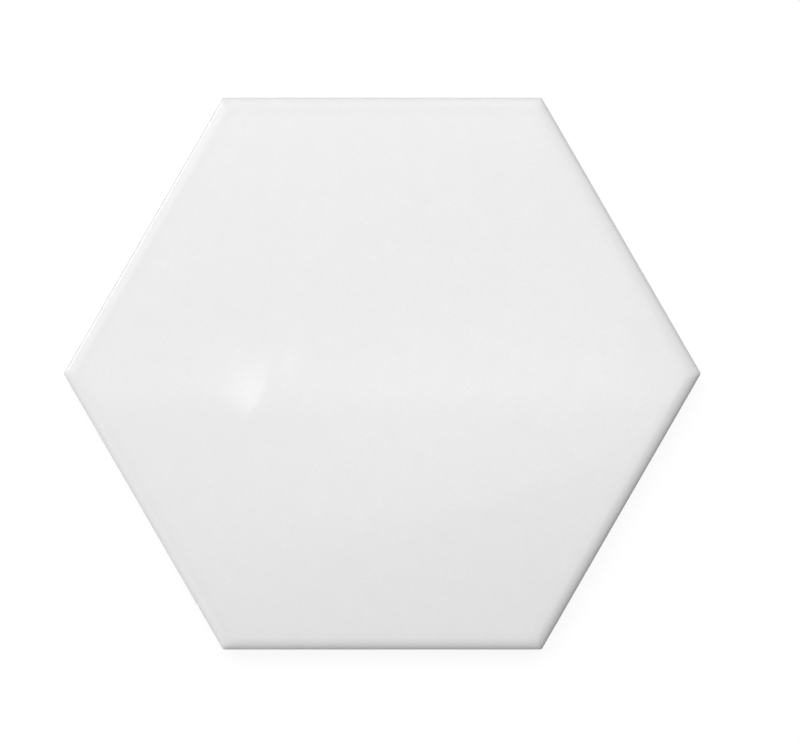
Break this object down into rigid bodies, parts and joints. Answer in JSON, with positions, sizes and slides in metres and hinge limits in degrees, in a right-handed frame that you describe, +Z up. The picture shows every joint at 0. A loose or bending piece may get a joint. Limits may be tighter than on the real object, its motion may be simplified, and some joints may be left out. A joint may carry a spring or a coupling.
{
  "type": "hexagon floor tile",
  "caption": "Flat hexagonal ceramic floor tile with a gloss white glazed face, a cushioned edge and a honeycomb key pressed into its back for the adhesive.",
  "frame": {"origin": "middle of the back, on the plane of the key's crests that the tile lies on", "axes": "+Z up out of the glazed face; +X towards one corner, so the size across corners lies along X and the size across flats along Y"},
  "size_m": [0.2018, 0.175, 0.009],
  "materials": {
    "glaze": "gloss"
  },
  "bodies": {
    "root": {"hexagon_tile": "glaze"}
  },
  "joints": []
}
